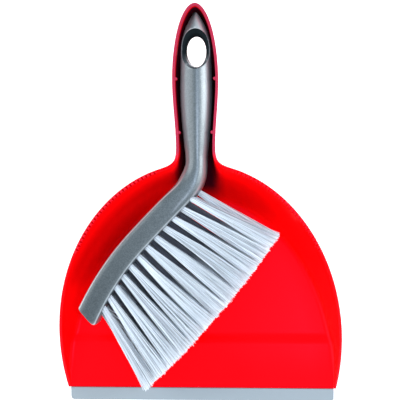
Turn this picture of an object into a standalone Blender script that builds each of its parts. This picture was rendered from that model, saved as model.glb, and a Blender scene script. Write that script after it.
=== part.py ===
"""A dust pan with its hand brush lying in it, as they are stored together.

The frame's origin is under the middle of the outline, on the surface the pan stands on:
+X to the right, +Y towards the handle's tip, +Z up. Lengths are named in millimetres
and become metres where vertices are made.
"""

import math

import bmesh
import bpy
from mathutils import Vector

MM = 0.001
GAP = 0.3

# Outline of the pan. y is counted from the lip's front edge here, and shifted in place().
LENGTH = 324.0
FRONT_Y = 10.9
BOWL_HALF_WIDTH = 118.0
BOWL_HALF_LENGTH = 145.0
BOWL_CENTRE_Y = 51.0
BOWL_END_ANGLE = math.radians(75.3)
ROOT_Y = 208.0
ROOT_HALF_WIDTH = 16.0
ROOT_REACH = 11.5
GRIP_Y = 262.0
GRIP_HALF_WIDTH = 18.8
NOSE_LENGTH = LENGTH - GRIP_Y
NOSE_SQUARENESS = 2.0
NOSE_PULL = 15.0
NECK_STEPS = 14
SIDE_STEPS = 5
NOSE_STEPS = 9
BACK_STEPS = 16

# Walls, floor and rim of the pan
WALL = 2.3
BOWL_DRAFT = math.radians(20.0)
TROUGH_DRAFT = math.radians(5.0)
FLOOR_TOP = WALL
RIM_FRONT_Z = 3.6
RIM_RISE = 57.0
RIM_TURN = math.radians(77.5)
HANDLE_SLOPE = math.radians(5.5)
TROUGH_DEPTH = 20.0
BOWL_FILLET = 4.0
TROUGH_FILLET = 9.0
FRONT_EDGE_TOP = 3.0
STEP_CREST_Y = 47.0
STEP_CREST_TOP = 5.2
STEP_FOOT_Y = 58.0
BACK_FOOT_Y = 167.0
MOUTH_Y = 180.0
MOUTH_DROP = 12.5

# Comb teeth in the back rim, and the snap nubs and hanging hole of the handle
TOOTH_PITCH = 3.75
NOTCH_WIDTH = 1.8
NOTCH_DEPTH = 2.4
COMB_SKIN = 0.6
COMB_START_Y = 127.0
COMB_TEETH = 26
NUB_YS = (220.5, 263.5)
NUB_RADIUS = 1.3
NUB_REACH = 2.0
NUB_TOP_BELOW_RIM = 0.5
NUB_HEIGHT = 3.5
NUB_POINTS = 10
PAN_HOLE_Y = 289.5
PAN_HOLE_HALF = (9.2, 15.0)

# Rubber lip, and the pan's tongue inside it
LIP_HALF_WIDTH = 111.4
LIP_CORNER = 3.0
LIP_EDGE_TOP = 1.2
LIP_BACK_TOP = 3.0
TONGUE_Y = 7.0
TONGUE_Z = (0.8, 1.6)
TONGUE_HALF_WIDTH = 107.0

# Brush: its middle plane passes BRUSH_Z above the ground at ROOT_Y and rises as the handle does
BRUSH_Z = 52.0
BRUSH_AXIS_X = 0.1
BRUSH_TIP_V = 110.9
BEND_START_V = -9.5
BEND_RADIUS = 38.0
BEND_TURN = math.radians(46.0)
HEAD_FIRST_LENGTH = 52.0
HEAD_FIRST_TURN = math.radians(3.0)
HEAD_LENGTH = 125.0
HEAD_LAST_TURN = math.radians(18.0)
HEAD_END_SLANT = math.radians(24.0)
HEAD_END_ROUND = 2.5
BRUSH_NOSE_LENGTH = 31.0
BRUSH_NOSE_POWER = 0.76
# Distance from the handle's tip: half depth, half thickness, squareness of the section
BRUSH_SECTIONS = (
    (31.0, 12.35, 10.9, 1.85),
    (66.0, 13.2, 11.0, 1.8),
    (86.0, 12.3, 10.9, 1.85),
    (103.0, 10.7, 10.5, 1.95),
    (120.0, 9.0, 10.2, 2.1),
    (137.0, 10.2, 12.0, 2.6),
    (150.5, 9.6, 14.5, 3.6),
    (168.0, 9.5, 17.0, 5.0),
    (275.5, 9.5, 17.0, 5.0),
)
BRUSH_HOLE_V = 79.5
BRUSH_HOLE_HALF = (6.8, 11.5)
BRUSH_HOLE_LEAN = 1.3
BRUSH_HOLE_REACH = 14.0
BRUSH_HOLE_DRAFT = 2.2
BRUSH_HOLE_SHOULDER = 2.9
BRUSH_HOLE_SHOULDER_TOP = 4.5
HOLE_POINTS = 28

# Tufts: three staggered rows, fanning out to a straight trimmed edge
ROW_SPACING = 9.5
ROW_SPREAD = 1.2
OUTER_ROW_TUFTS = 12
MIDDLE_ROW_TUFTS = 13
OUTER_ROW_S = (-3.2, 115.0)
MIDDLE_ROW_S = (-8.5, 119.2)
TRIM_START = (67.0, -69.5)
TRIM_END = (-42.9, -196.4)
TRIM_CROWN = 4.5
TUFT_ROOT_RADIUS = 2.5
TUFT_HOLE_DEPTH = 8.0
TUFT_ROOT_DEPTH = 7.6
TUFT_TIP_GAP = 0.9
TUFT_ROUND_LENGTH = 4.0
TUFT_HOLE_OVERRUN = 7.0

RING_POINTS = 24


def place(x, y, z):
    """A point of the pan in metres, with y counted from the lip's front edge."""
    return Vector((x, y - LENGTH / 2, z)) * MM


def lerp(a, b, t):
    return a + (b - a) * t


def smoothstep(t):
    t = min(max(t, 0.0), 1.0)
    return t * t * (3 - 2 * t)


def make_material(name, colour, roughness, metallic=0.0):
    material = bpy.data.materials.new(name)
    material.use_nodes = True
    shader = material.node_tree.nodes["Principled BSDF"]
    shader.inputs["Base Color"].default_value = (*colour, 1.0)
    shader.inputs["Roughness"].default_value = roughness
    shader.inputs["Metallic"].default_value = metallic
    material.diffuse_color = (*colour, 1.0)
    return material


def make_object(name, vertices, faces, material=None, parent=None, sharp_degrees=40.0):
    """A closed mesh object with its normals pointing out."""
    mesh = bpy.data.meshes.new(name)
    mesh.from_pydata(vertices, [], faces)
    work = bmesh.new()
    work.from_mesh(mesh)
    bmesh.ops.remove_doubles(work, verts=work.verts, dist=1e-7)
    bmesh.ops.recalc_face_normals(work, faces=work.faces)
    work.to_mesh(mesh)
    work.free()
    mesh.shade_smooth()
    mesh.set_sharp_from_angle(angle=math.radians(sharp_degrees))
    if material:
        mesh.materials.append(material)
    shown = bpy.data.objects.new(name, mesh)
    bpy.context.scene.collection.objects.link(shown)
    shown.parent = parent
    return shown


def loft(rings):
    """Faces that join equal closed rings in order and cap both ends."""
    count = len(rings[0])
    vertices = [point for ring in rings for point in ring]
    faces = []
    for r in range(len(rings) - 1):
        for i in range(count):
            j = (i + 1) % count
            a, b = r * count, (r + 1) * count
            faces.append((a + i, a + j, b + j, b + i))
    faces.append(tuple(range(count)))
    faces.append(tuple(range((len(rings) - 1) * count, len(rings) * count)))
    return vertices, faces


def joined_solids(solids):
    """Vertices and faces of several separate solids as one list."""
    vertices, faces = [], []
    for some_vertices, some_faces in solids:
        start = len(vertices)
        vertices += some_vertices
        faces += [tuple(start + i for i in face) for face in some_faces]
    return vertices, faces


def apply_tool(target, tool, operation):
    """Cuts or joins with a hidden helper object that the model doesn't show."""
    tool.hide_render = True
    tool.display_type = "WIRE"
    modifier = target.modifiers.new(tool.name, "BOOLEAN")
    modifier.object = tool
    modifier.operation = operation
    modifier.solver = "EXACT"


# ---------------------------------------------------------------- pan


def rim_height(y):
    """Height of the rim: it sweeps up from the front corner and runs on along the handle."""
    back_y = BOWL_CENTRE_Y + BOWL_HALF_LENGTH * math.sin(BOWL_END_ANGLE)
    turn = RIM_TURN * (min(y, back_y) - FRONT_Y) / (back_y - FRONT_Y)
    return RIM_FRONT_Z + RIM_RISE * math.sin(turn) + max(y - back_y, 0) * math.tan(HANDLE_SLOPE)


def floor_height(y):
    """Height of the pan's inner floor on its middle line, from the front edge to the nose."""
    if y < STEP_CREST_Y:
        ramp = (y - FRONT_Y) / (STEP_CREST_Y - FRONT_Y)
        return lerp(FRONT_EDGE_TOP, STEP_CREST_TOP, math.sin(ramp * math.pi / 2))
    if y < STEP_FOOT_Y:
        step = (y - STEP_CREST_Y) / (STEP_FOOT_Y - STEP_CREST_Y)
        return lerp(STEP_CREST_TOP, FLOOR_TOP, smoothstep(step))
    if y < BACK_FOOT_Y:
        return FLOOR_TOP
    trough = rim_height(y) - TROUGH_DEPTH
    if y >= ROOT_Y:
        return trough
    mouth_top = rim_height(ROOT_Y) - TROUGH_DEPTH - MOUTH_DROP
    if y < MOUTH_Y:
        rise = (y - BACK_FOOT_Y) / (MOUTH_Y - BACK_FOOT_Y)
        return lerp(FLOOR_TOP, mouth_top, rise**1.5)
    ease = (y - MOUTH_Y) / (ROOT_Y - MOUTH_Y)
    return lerp(mouth_top, rim_height(ROOT_Y) - TROUGH_DEPTH, math.sin(ease * math.pi / 2) ** 0.9)


def bowl_angles():
    """Angles on the bowl's ellipse: close together at the floor's step, then even."""
    front = (FRONT_Y, 18, 26, 36, 43, STEP_CREST_Y, 50, 53, 56, STEP_FOOT_Y, 62)
    angles = [math.asin((y - BOWL_CENTRE_Y) / BOWL_HALF_LENGTH) for y in front]
    return angles + [lerp(angles[-1], BOWL_END_ANGLE, (i + 1) / BACK_STEPS) for i in range(BACK_STEPS)]


def bowl_point(angle):
    x = BOWL_HALF_WIDTH * math.cos(angle)
    y = BOWL_CENTRE_Y + BOWL_HALF_LENGTH * math.sin(angle)
    normal = Vector((BOWL_HALF_LENGTH * math.cos(angle), BOWL_HALF_WIDTH * math.sin(angle)))
    return Vector((x, y)), normal.normalized()


def grip_half_width(y):
    return lerp(ROOT_HALF_WIDTH, GRIP_HALF_WIDTH, smoothstep((y - ROOT_Y) / (GRIP_Y - ROOT_Y)))


def rim_columns():
    """Columns from the front corner to the handle's tip, on the right half.

    Each is (rim point, outward normal, inset of the wall's foot, fillet, pull towards the root).
    """
    columns = []
    for angle in bowl_angles():
        point, normal = bowl_point(angle)
        if not columns:
            normal = Vector((1.0, 0.0))
        drop = rim_height(point.y) - floor_height(min(point.y, BACK_FOOT_Y - 1))
        inset = WALL + drop * math.tan(BOWL_DRAFT)
        columns.append((point, normal, inset, BOWL_FILLET, 0.0))

    start, start_normal = bowl_point(BOWL_END_ANGLE)
    bowl_inset = columns[-1][2]
    trough_inset = WALL + TROUGH_DEPTH * math.tan(TROUGH_DRAFT)
    tangent = Vector((-start_normal.y, start_normal.x))
    end = Vector((ROOT_HALF_WIDTH, ROOT_Y))
    controls = (start, start + tangent * ROOT_REACH, end - Vector((0, ROOT_REACH)), end)
    for i in range(1, NECK_STEPS):
        t = i / NECK_STEPS
        a, b, c, d = controls
        point = a * (1 - t) ** 3 + b * 3 * t * (1 - t) ** 2 + c * 3 * t * t * (1 - t) + d * t**3
        along = (b - a) * (1 - t) ** 2 + (c - b) * 2 * t * (1 - t) + (d - c) * t * t
        normal = Vector((along.y, -along.x)).normalized()
        blend = smoothstep(t / 0.75)
        inset = lerp(bowl_inset, trough_inset, blend)
        columns.append((point, normal, inset, lerp(BOWL_FILLET, TROUGH_FILLET, blend), 0.0))

    for i in range(SIDE_STEPS):
        y = lerp(ROOT_Y, GRIP_Y, i / SIDE_STEPS)
        slope = (grip_half_width(y + 0.5) - grip_half_width(y - 0.5)) if i else 0.0
        normal = Vector((1.0, -slope)).normalized()
        columns.append((Vector((grip_half_width(y), y)), normal, trough_inset, TROUGH_FILLET, 0.0))

    for i in range(NOSE_STEPS + 1):
        angle = math.pi / 2 * i / NOSE_STEPS
        across = max(math.cos(angle), 0.0) ** (2 / NOSE_SQUARENESS)
        along = math.sin(angle) ** (2 / NOSE_SQUARENESS)
        point = Vector((GRIP_HALF_WIDTH * across, GRIP_Y + NOSE_LENGTH * along))
        steepness = NOSE_SQUARENESS - 1
        normal = Vector((across**steepness / GRIP_HALF_WIDTH, along**steepness / NOSE_LENGTH))
        pull = NOSE_PULL * along**4
        columns.append((point, normal.normalized(), trough_inset, TROUGH_FILLET, pull))
    return columns


def column_profile(point, normal, inset, fillet, pull):
    """One inner profile of the pan, from the rim down the wall and over the floor to the middle."""
    rim_xy = point - normal * WALL
    foot_xy = point - normal * inset
    foot_xy.x = max(foot_xy.x, 0.0)
    rim = Vector((*rim_xy, rim_height(point.y)))
    foot = Vector((*foot_xy, floor_height(foot_xy.y)))
    middle_y = foot_xy.y - pull
    middle = Vector((0.0, middle_y, floor_height(middle_y)))
    leg = min(fillet, 0.45 * (rim - foot).length, 0.6 * (middle - foot).length)
    wall_end = foot + (rim - foot).normalized() * leg
    floor_end = foot + (middle - foot).normalized() * leg
    profile = [rim, (rim + wall_end) / 2, wall_end]
    for t in (0.25, 0.5, 0.75):
        profile.append(wall_end * (1 - t) ** 2 + foot * 2 * t * (1 - t) + floor_end * t * t)
    profile += [floor_end, (floor_end + middle) / 2, middle]
    return profile


def pan_shell():
    """Vertices and faces of the pan's closed shell, inner and outer surface and rim."""
    right = rim_columns()
    inner = [column_profile(*column) for column in right]
    outward = [column[1] for column in right]
    mirrored = [[Vector((-p.x, p.y, p.z)) for p in profile] for profile in inner[:-1]]
    inner = inner + mirrored[::-1]
    outward = outward + [Vector((-n.x, n.y)) for n in outward[:-1]][::-1]

    rows = len(inner[0])
    outer = []
    for c, profile in enumerate(inner):
        before, after = inner[max(c - 1, 0)], inner[min(c + 1, len(inner) - 1)]
        shifted = []
        for r, p in enumerate(profile):
            across = profile[min(r + 1, rows - 1)] - profile[max(r - 1, 0)]
            if r == rows - 1:
                across = Vector((1.0, 0.0, 0.0)) * (-1 if c < len(right) else 1)
            normal = across.cross(after[r] - before[r])
            if normal.length < 1e-9 or (r == rows - 1 and c == len(right) - 1):
                normal = Vector((0.0, -math.sin(HANDLE_SLOPE), math.cos(HANDLE_SLOPE)))
            normal.normalize()
            if normal.z < 0:
                normal.negate()
            shifted.append(p - normal * WALL)
        shifted[0] = profile[0] + Vector((*outward[c], 0.0)) * WALL
        outer.append([Vector((p.x, p.y, max(p.z, 0.0))) for p in shifted])

    vertices = [place(*p) for layer in (inner, outer) for profile in layer for p in profile]
    count = len(inner)

    def index(layer, c, r):
        return (layer * count + c) * rows + r

    faces = []
    for c in range(count - 1):
        for r in range(rows - 1):
            for layer in (0, 1):
                corners = ((c, r), (c, r + 1), (c + 1, r + 1), (c + 1, r))
                faces.append([index(layer, *corner) for corner in corners])
        faces.append([index(0, c, 0), index(0, c + 1, 0), index(1, c + 1, 0), index(1, c, 0)])
    for c in (0, count - 1):
        for r in range(rows - 1):
            faces.append([index(0, c, r), index(0, c, r + 1), index(1, c, r + 1), index(1, c, r)])
    return vertices, faces


def half_outline_arc(start_y, pitch, count):
    """Points and normals on the bowl's rim, a steady pitch apart, starting at start_y."""
    angle = math.asin((start_y - BOWL_CENTRE_Y) / BOWL_HALF_LENGTH)
    found = []
    for _ in range(count):
        found.append(bowl_point(angle))
        speed = math.hypot(BOWL_HALF_WIDTH * math.sin(angle), BOWL_HALF_LENGTH * math.cos(angle))
        angle += pitch / speed
    return found


def prism(outline, low, high, centre=(0.0, 0.0), to_world=place):
    """A solid between two heights over a plan outline of (x, y) offsets from a centre."""
    rings = [[to_world(centre[0] + x, centre[1] + y, z) for x, y in outline] for z in (low, high)]
    return loft(rings)


def ellipse_outline(half_x, half_y, count):
    turns = [2 * math.pi * i / count for i in range(count)]
    return [(half_x * math.cos(a), half_y * math.sin(a)) for a in turns]


def comb_notches():
    """The gaps between the comb's teeth, cut into the back rim but for a thin skin outside."""
    solids = []
    for point, normal in half_outline_arc(COMB_START_Y, TOOTH_PITCH, COMB_TEETH):
        along = Vector((-normal.y, normal.x)) * NOTCH_WIDTH / 2
        outside = point - normal * COMB_SKIN
        inside = point - normal * 2 * WALL
        corners = [outside + along, outside - along, inside - along, inside + along]
        top = rim_height(point.y)
        for side in (1, -1):
            outline = [(side * p.x, p.y) for p in corners]
            solids.append(prism(outline, top - NOTCH_DEPTH, top + WALL))
    return joined_solids(solids)


def snap_nubs():
    """Four small nubs on the handle's inner walls, just under its rim."""
    outline = ellipse_outline(NUB_REACH, NUB_RADIUS, NUB_POINTS)
    solids = []
    for y in NUB_YS:
        top = rim_height(y) - NUB_TOP_BELOW_RIM
        wall_x = grip_half_width(y) - WALL
        for side in (1, -1):
            solids.append(prism(outline, top - NUB_HEIGHT, top, (side * wall_x, y)))
    return joined_solids(solids)


def box_outline(x_low, x_high, y_low, y_high):
    return [(x_low, y_low), (x_high, y_low), (x_high, y_high), (x_low, y_high)]


def make_pan(red):
    pan = make_object("pan_body", *pan_shell(), red)
    tongue = box_outline(-TONGUE_HALF_WIDTH, TONGUE_HALF_WIDTH, TONGUE_Y, FRONT_Y + WALL)
    apply_tool(pan, make_object("tongue_tool", *prism(tongue, *TONGUE_Z)), "UNION")
    apply_tool(pan, make_object("nub_tool", *snap_nubs()), "UNION")
    apply_tool(pan, make_object("comb_tool", *comb_notches()), "DIFFERENCE")
    floor = floor_height(PAN_HOLE_Y)
    hole = prism(ellipse_outline(*PAN_HOLE_HALF, HOLE_POINTS), floor - 8, floor + 8, (0.0, PAN_HOLE_Y))
    apply_tool(pan, make_object("pan_hole_tool", *hole), "DIFFERENCE")
    return pan


def make_lip(rubber):
    """The soft strip along the front edge, with rounded corners and a groove for the pan's tongue."""
    back = FRONT_Y - GAP
    outline = [(LIP_HALF_WIDTH, back), (-LIP_HALF_WIDTH, back)]
    corner_steps = 5
    for side, turns in ((-1, range(corner_steps + 1)), (1, range(corner_steps, -1, -1))):
        for i in turns:
            angle = math.pi / 2 * i / corner_steps
            x = LIP_HALF_WIDTH - LIP_CORNER + LIP_CORNER * math.cos(angle)
            outline.append((side * x, LIP_CORNER - LIP_CORNER * math.sin(angle)))
    bottom = [place(x, y, 0.0) for x, y in outline]
    top = [place(x, y, lerp(LIP_EDGE_TOP, LIP_BACK_TOP, y / back)) for x, y in outline]
    lip = make_object("rubber_lip", *loft([bottom, top]), rubber)
    half = TONGUE_HALF_WIDTH + GAP
    groove = prism(box_outline(-half, half, TONGUE_Y - GAP, FRONT_Y), TONGUE_Z[0] - GAP, TONGUE_Z[1] + GAP)
    apply_tool(lip, make_object("groove_tool", *groove), "DIFFERENCE")
    return lip


# -------------------------------------------------------------- brush


def smooth_through(keys, at):
    """Values that pass smoothly through rows of (place, value, value, ...)."""
    at = min(max(at, keys[0][0]), keys[-1][0])
    i = max(k for k in range(len(keys) - 1) if keys[k][0] <= at)

    def slopes(k):
        low, high = keys[max(k - 1, 0)], keys[min(k + 1, len(keys) - 1)]
        return [(b - a) / (high[0] - low[0]) for a, b in zip(low[1:], high[1:])]

    low, high = keys[i], keys[i + 1]
    span = high[0] - low[0]
    t = (at - low[0]) / span
    values = []
    for a, b, slope_a, slope_b in zip(low[1:], high[1:], slopes(i), slopes(i + 1)):
        start = (1 + 2 * t) * (1 - t) ** 2 * a + t * (1 - t) ** 2 * span * slope_a
        end = t * t * (3 - 2 * t) * b - t * t * (1 - t) * span * slope_b
        values.append(start + end)
    return values


BEND_LENGTH = BEND_RADIUS * BEND_TURN
TIP_TO_BEND_END = BRUSH_TIP_V - BEND_START_V + BEND_LENGTH


def arc_step(point, turn, length, turned):
    """Follows an arc: turn is the heading's angle from straight down towards -X."""
    if abs(turned) < 1e-9:
        return point + Vector((-math.sin(turn), -math.cos(turn))) * length, turn
    radius = length / turned
    shift = (math.cos(turn + turned) - math.cos(turn), math.sin(turn) - math.sin(turn + turned))
    return point + Vector(shift) * radius, turn + turned


def centreline(s):
    """Point, heading and sideways direction on the brush's middle line.

    s is 0 where the neck's bend ends and the head begins; sideways points to the bristles.
    """
    point = Vector((BRUSH_AXIS_X, BEND_START_V))
    if s <= -BEND_LENGTH:
        point = point + Vector((0.0, -BEND_LENGTH - s))
        turn = 0.0
    else:
        lengths = (BEND_LENGTH, HEAD_FIRST_LENGTH, HEAD_LENGTH - HEAD_FIRST_LENGTH)
        turns = (BEND_TURN, -HEAD_FIRST_TURN, -HEAD_LAST_TURN)
        left, turn = s + BEND_LENGTH, 0.0
        for length, turned in zip(lengths, turns):
            part = min(left, length) if length != lengths[-1] else left
            point, turn = arc_step(point, turn, part, turned * part / length)
            left -= part
            if left <= 0:
                break
    heading = Vector((-math.sin(turn), -math.cos(turn)))
    return point, heading, Vector((-heading.y, heading.x))


def brush_section(s):
    """Half depth, half thickness and squareness of the brush at s."""
    from_tip = TIP_TO_BEND_END + s
    depth, thickness, square = smooth_through(BRUSH_SECTIONS, from_tip)
    if from_tip < BRUSH_NOSE_LENGTH:
        shrink = math.sin(math.pi / 2 * from_tip / BRUSH_NOSE_LENGTH) ** BRUSH_NOSE_POWER
        depth, thickness = depth * shrink, thickness * shrink
    return depth, thickness, square


def section_ring(point, sideways, depth, thickness, square, count=RING_POINTS):
    """A closed ring with the outline of a superellipse: 2 is round and higher is boxier."""
    ring = []
    for i in range(count):
        angle = 2 * math.pi * (i + 0.5) / count
        c, s = math.cos(angle), math.sin(angle)
        across = math.copysign(abs(c) ** (2 / square), c) * depth
        up = math.copysign(abs(s) ** (2 / square), s) * thickness
        flat = point + sideways * across
        ring.append(Vector((flat.x, flat.y, up)) * MM)
    return ring


def brush_rings():
    tip_distances = (0.3, 1.2, 3.0, 6.5, 12.0, 20.0, 31.0, 42.0, 54.0, 66.0, 76.0, 86.0, 95.0, 103.0, 111.0)
    stations = [d - TIP_TO_BEND_END for d in tip_distances]
    bend_steps, head_steps = 6, 14
    stations += [-BEND_LENGTH * (1 - i / bend_steps) for i in range(bend_steps)]
    stations += [HEAD_LENGTH * i / head_steps for i in range(head_steps + 1)]
    rings = []
    for s in stations:
        point, heading, sideways = centreline(s)
        slant = HEAD_END_SLANT * smoothstep((s - HEAD_LENGTH + 30.0) / 30.0)
        sideways = sideways * math.cos(slant) + heading * math.sin(slant)
        depth, thickness, square = brush_section(s)
        rings.append(section_ring(point, sideways, depth / math.cos(slant), thickness, square))
    forward = Vector((sideways.y, -sideways.x))
    for advance, shrink in ((0.6, 0.3), (0.9, 1.1)):
        point = point + forward * HEAD_END_ROUND * advance / 1.5
        less = HEAD_END_ROUND * shrink / 1.1
        rings.append(
            section_ring(point, sideways, depth / math.cos(slant) - less, thickness - less, square)
        )
    return rings


def hanging_hole():
    """An elliptic tool: a steep hole that opens over a shoulder into a wide mouth on top."""
    rings = []
    shoulder = [BRUSH_HOLE_SHOULDER_TOP * i / 3 for i in range(4)]
    for up in (-BRUSH_HOLE_REACH, *shoulder, BRUSH_HOLE_REACH):
        rise = (up + BRUSH_HOLE_REACH) / BRUSH_HOLE_REACH
        flare = BRUSH_HOLE_DRAFT * min(rise, 1.0)
        flare += BRUSH_HOLE_SHOULDER * smoothstep(up / BRUSH_HOLE_SHOULDER_TOP)
        middle_v = BRUSH_HOLE_V + BRUSH_HOLE_LEAN * rise / 2
        outline = ellipse_outline(BRUSH_HOLE_HALF[0] + flare, BRUSH_HOLE_HALF[1] + flare, HOLE_POINTS)
        rings.append([Vector((BRUSH_AXIS_X + x, middle_v + y, up)) * MM for x, y in outline])
    return loft(rings)


def trim_point(t):
    """A point on the bristles' trimmed edge, a chord that is crowned a little in its middle."""
    chord = Vector(TRIM_END) - Vector(TRIM_START)
    outward = Vector((-chord.y, chord.x)).normalized()
    return Vector(TRIM_START) + chord * t + outward * TRIM_CROWN * (1 - (2 * t - 1) ** 2)


def tuft_axes():
    """Name, root point on the bristle face, tip on the trimmed edge and trim direction of each tuft."""
    rows = (
        ("upper", ROW_SPACING, OUTER_ROW_TUFTS, OUTER_ROW_S),
        ("middle", 0.0, MIDDLE_ROW_TUFTS, MIDDLE_ROW_S),
        ("lower", -ROW_SPACING, OUTER_ROW_TUFTS, OUTER_ROW_S),
    )
    for row, up, count, (first_s, last_s) in rows:
        for i in range(count):
            s = lerp(first_s, last_s, i / (count - 1))
            point, _, sideways = centreline(s)
            face = point + sideways * brush_section(s)[0]
            trim = trim_point((i + 0.5) / count)
            cell = trim_point(i / count) - trim_point((i + 1) / count)
            root = Vector((face.x, face.y, up))
            tip = Vector((trim.x, trim.y, up * ROW_SPREAD))
            yield f"tuft_{row}_{i + 1:02d}", root, tip, Vector((cell.x, cell.y, 0.0))


def octagon(centre, along, across, half_along, half_across):
    """Eight points round a centre, with flat sides facing along and across."""
    ring = []
    for i in range(8):
        angle = 2 * math.pi * (i + 0.5) / 8
        shift = along * math.cos(angle) * half_along + across * math.sin(angle) * half_across
        ring.append((centre + shift) * MM)
    return ring


def tuft_frame(root, tip):
    """Unit vectors of a tuft: down its length, in the brush's plane, and across the rows."""
    down = (tip - root).normalized()
    along = down.cross(Vector((0.0, 0.0, 1.0))).normalized()
    return down, along, along.cross(down)


def tuft_holes():
    radius = TUFT_ROOT_RADIUS + GAP + 0.1
    solids = []
    for _, root, tip, _ in tuft_axes():
        down, along, across = tuft_frame(root, tip)
        ends = [root - down * TUFT_HOLE_DEPTH, root + down * TUFT_HOLE_OVERRUN]
        solids.append(loft([octagon(end, along, across, radius, radius) for end in ends]))
    return joined_solids(solids)


def make_tuft(name, root, tip, cell, filament, parent):
    """A bundle of filaments: round in its hole, then flaring to its cell of the trimmed edge."""
    down, along, across = tuft_frame(root, tip)
    trim = cell.normalized() * math.copysign(1.0, along.dot(cell))
    corner = 1 / math.cos(math.pi / 8)
    tip_along = (cell.length - TUFT_TIP_GAP) / 2 * corner
    tip_across = (ROW_SPACING * ROW_SPREAD - TUFT_TIP_GAP) / 2 * corner
    r = TUFT_ROOT_RADIUS
    rings = [
        octagon(root - down * TUFT_ROOT_DEPTH, along, across, r, r),
        octagon(root + down * TUFT_ROUND_LENGTH, along, across, r, r),
        octagon(root.lerp(tip, 0.5), along, across, lerp(r, tip_along, 0.44), lerp(r, tip_across, 0.44)),
        octagon(tip, trim, Vector((0.0, 0.0, math.copysign(1.0, across.z))), tip_along, tip_across),
    ]
    return make_object(name, *loft(rings), filament, parent, sharp_degrees=50.0)


def make_brush(slate, filament):
    rest = bpy.data.objects.new("brush_rest", None)
    bpy.context.scene.collection.objects.link(rest)
    rest.location = place(0.0, ROOT_Y, BRUSH_Z)
    rest.rotation_euler.x = HANDLE_SLOPE
    body = make_object("brush_body", *loft(brush_rings()), slate, rest)
    apply_tool(body, make_object("brush_hole_tool", *hanging_hole(), parent=rest), "DIFFERENCE")
    apply_tool(body, make_object("tuft_hole_tool", *tuft_holes(), parent=rest), "DIFFERENCE")
    for name, root, tip, cell in tuft_axes():
        make_tuft(name, root, tip, cell, filament, rest)


def main():
    for old in list(bpy.data.objects):
        bpy.data.objects.remove(old)
    make_pan(make_material("moulded_red", (0.75, 0.008, 0.014), 0.32))
    make_lip(make_material("grey_rubber", (0.42, 0.51, 0.58), 0.5))
    make_brush(
        make_material("slate_metallic", (0.20, 0.24, 0.26), 0.38, 0.55),
        make_material("pale_filament", (0.78, 0.85, 0.92), 0.45),
    )


main()
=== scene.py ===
"""Dust pan with its hand brush: the fine surfaces, bristles, finishes, light and camera.

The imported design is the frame. Lengths are named in millimetres and become metres where
points are made. Heights and outlines of the pan are counted as the design counts them,
with y from the lip's front edge.
"""

import math
import random
from collections import namedtuple

import bmesh
import bpy
import numpy as np
from mathutils import Matrix, Vector


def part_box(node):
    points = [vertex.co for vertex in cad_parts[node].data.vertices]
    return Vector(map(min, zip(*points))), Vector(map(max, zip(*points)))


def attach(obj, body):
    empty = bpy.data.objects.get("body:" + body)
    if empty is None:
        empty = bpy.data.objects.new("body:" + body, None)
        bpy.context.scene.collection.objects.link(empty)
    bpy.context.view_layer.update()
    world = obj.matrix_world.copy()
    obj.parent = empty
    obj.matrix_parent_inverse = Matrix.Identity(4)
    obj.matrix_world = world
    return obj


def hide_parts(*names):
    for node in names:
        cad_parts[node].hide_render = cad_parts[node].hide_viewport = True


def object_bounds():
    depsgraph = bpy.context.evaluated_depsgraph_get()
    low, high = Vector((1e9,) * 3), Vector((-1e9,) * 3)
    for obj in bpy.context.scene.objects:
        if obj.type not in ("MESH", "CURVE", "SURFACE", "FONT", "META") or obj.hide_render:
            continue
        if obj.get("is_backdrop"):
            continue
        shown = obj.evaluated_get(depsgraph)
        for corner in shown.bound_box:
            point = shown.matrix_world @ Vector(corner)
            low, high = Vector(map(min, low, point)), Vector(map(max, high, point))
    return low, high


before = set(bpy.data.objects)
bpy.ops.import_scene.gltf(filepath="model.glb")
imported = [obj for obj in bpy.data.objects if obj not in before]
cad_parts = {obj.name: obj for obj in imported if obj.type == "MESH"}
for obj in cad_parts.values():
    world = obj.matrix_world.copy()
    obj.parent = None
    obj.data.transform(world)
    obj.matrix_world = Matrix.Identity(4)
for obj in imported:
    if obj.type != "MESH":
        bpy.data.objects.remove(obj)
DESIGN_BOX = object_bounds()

bl_info = {
    "name": "Dust pan and brush",
    "version": (1, 0, 0),
    "blender": (4, 5, 0),
    "location": "3D View > Sidebar > Dust pan",
    "description": "Models a dust pan with its hand brush around the packed design",
    "category": "Add Mesh",
}

MM = 0.001
LENGTH = (DESIGN_BOX[1].y - DESIGN_BOX[0].y) / MM

# Outline of the pan
FRONT_Y = 10.9
BOWL_HALF_WIDTH = 117.95
BOWL_HALF_LENGTH = 145.0
BOWL_CENTRE_Y = 51.0
BOWL_END_ANGLE = math.radians(75.3)
BOWL_END_Y = BOWL_CENTRE_Y + BOWL_HALF_LENGTH * math.sin(BOWL_END_ANGLE)
ROOT_Y = 208.0
ROOT_HALF_WIDTH = 16.0
ROOT_REACH = 11.5
GRIP_Y = 262.0
GRIP_HALF_WIDTH = 18.8
NOSE_LENGTH = LENGTH - GRIP_Y
NOSE_SQUARENESS = 2.0
NOSE_PULL = 15.0

# Walls, floor and rim of the pan
BOWL_DRAFT = math.radians(20.0)
TROUGH_DRAFT = math.radians(5.0)
RIM_FRONT_Z = 3.6
RIM_RISE = 57.0
RIM_TURN = math.radians(77.5)
RIM_ROUND = 0.55
HANDLE_SLOPE = math.radians(5.5)
TROUGH_DEPTH = 20.0
BOWL_FILLET = 4.0
TROUGH_FILLET = 9.0
FRONT_EDGE_TOP = 3.0
FRONT_ROLL = 2.4
FRONT_ROLL_SHADE = 0.65
STEP_CREST_Y = 47.0
STEP_CREST_TOP = 5.2
STEP_FOOT_Y = 58.0
FINE_FRONT_Y = 62.0
BACK_FOOT_Y = 167.0
MOUTH_Y = 180.0
MOUTH_DROP = 12.5

# Lip
LIP_TOP_EASE = 0.4
LIP_LOW_EASE = 0.3

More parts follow.
